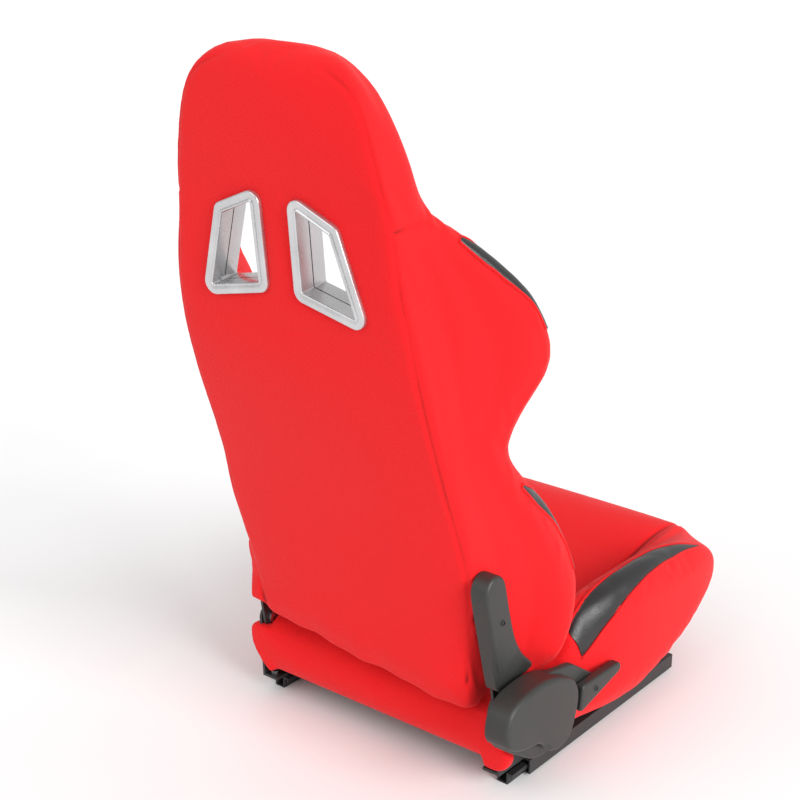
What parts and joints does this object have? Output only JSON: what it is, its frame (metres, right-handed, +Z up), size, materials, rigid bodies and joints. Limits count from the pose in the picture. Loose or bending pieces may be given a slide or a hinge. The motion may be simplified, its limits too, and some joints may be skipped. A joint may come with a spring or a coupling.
{
  "type": "reclining bucket seat",
  "caption": "Reclining bucket seat in red cloth with black side strips, two harness holes in silver bezels, a side recliner lever and sliding floor rails.",
  "frame": {"origin": "on the floor, in the middle of the four floor bolt holes", "axes": "+Z up, the seat faces -Y, +X towards the sitter's left"},
  "size_m": [0.5486, 0.7276, 0.978],
  "materials": {
    "red_cloth": "woven cloth",
    "black_vinyl": "grained vinyl",
    "foam": "moulded foam",
    "black_plastic": "fine grain",
    "satin_silver": "satin silver coat on moulded plastic",
    "black_steel": "black powder coat",
    "zinc_steel": "zinc plate"
  },
  "bodies": {
    "floor_rails": {"lower_rail_right": "black_steel", "lower_rail_left": "black_steel"},
    "rail_rollers": {"roller_cage_right": "zinc_steel", "roller_cage_left": "zinc_steel", "rail_rollers": "zinc_steel"},
    "seat_base": {"upper_rail_right": "black_steel", "upper_rail_left": "black_steel", "pan_frame": "black_steel", "pan_springs": "zinc_steel", "pan_bolts": "zinc_steel", "cushion_foam": "foam", "cushion_cover": "red_cloth", "cushion_accent_right": "black_vinyl", "cushion_accent_left": "black_vinyl", "recliner_plate_right": "black_steel", "recliner_plate_left": "black_steel", "recliner_cover": "black_plastic", "recliner_spring": "zinc_steel", "pivot_bolt_right": "zinc_steel", "pivot_bolt_left": "zinc_steel", "plate_bolts": "zinc_steel", "recliner_posts": "black_steel", "latch_pins": "zinc_steel", "pawl_pin": "zinc_steel"},
    "slide_adjuster": {"adjuster_bar": "black_steel", "adjuster_grip": "black_plastic", "latch_right": "black_steel", "latch_left": "black_steel"},
    "recliner_lever": {"lever_arm": "black_steel", "lever_handle": "black_plastic", "lever_screw": "zinc_steel"},
    "recliner_pawl": {"recliner_pawl": "black_steel"},
    "backrest": {"back_frame": "black_steel", "back_springs": "zinc_steel", "back_arm_right": "black_steel", "back_arm_left": "black_steel", "arm_bolts": "zinc_steel", "back_foam": "foam", "wing_foam_right": "foam", "wing_foam_left": "foam", "back_cover": "red_cloth", "shoulder_accent_right": "black_vinyl", "shoulder_accent_left": "black_vinyl", "lumbar_accent_right": "black_vinyl", "lumbar_accent_left": "black_vinyl", "bezel_rear_right": "satin_silver", "bezel_rear_left": "satin_silver", "bezel_front_right": "satin_silver", "bezel_front_left": "satin_silver", "bezel_bands": "zinc_steel", "arm_cover": "black_plastic", "arm_cover_screw": "black_steel", "arm_cover_posts": "black_steel"}
  },
  "joints": [
    {"name": "seat_slide", "type": "slide", "parent": "floor_rails", "child": "seat_base", "axis": [0, 1, 0], "range_m": [-0.066, 0.134]},
    {"name": "roller_travel", "type": "slide", "parent": "floor_rails", "child": "rail_rollers", "axis": [0, 1, 0], "range_m": [-0.033, 0.067]},
    {"name": "slide_adjuster_lift", "type": "hinge", "parent": "seat_base", "child": "slide_adjuster", "pos_m": [0, -0.1, 0.012], "axis": [-1, 0, 0], "range_deg": [0, 8], "stiffness_Nm_per_rad": 3, "springref_deg": -17.19},
    {"name": "lever_lift", "type": "hinge", "parent": "seat_base", "child": "recliner_lever", "pos_m": [-0.23, 0.155, 0.118], "axis": [-1, 0, 0], "range_deg": [0, 20], "stiffness_Nm_per_rad": 1.5, "springref_deg": -17.19},
    {"name": "pawl_swing", "type": "hinge", "parent": "seat_base", "child": "recliner_pawl", "pos_m": [-0.202, 0.158, 0.088], "axis": [-1, 0, 0], "range_deg": [-10, 0]},
    {"name": "back_recline", "type": "hinge", "parent": "seat_base", "child": "backrest", "pos_m": [0, 0.195, 0.12], "axis": [-1, 0, 0], "range_deg": [-4.5, 60]}
  ],
  "couplings": [
    {"joint": "roller_travel", "follows": "seat_slide", "ratio": 0.5},
    {"joint": "pawl_swing", "follows": "lever_lift", "ratio": -0.5}
  ]
}
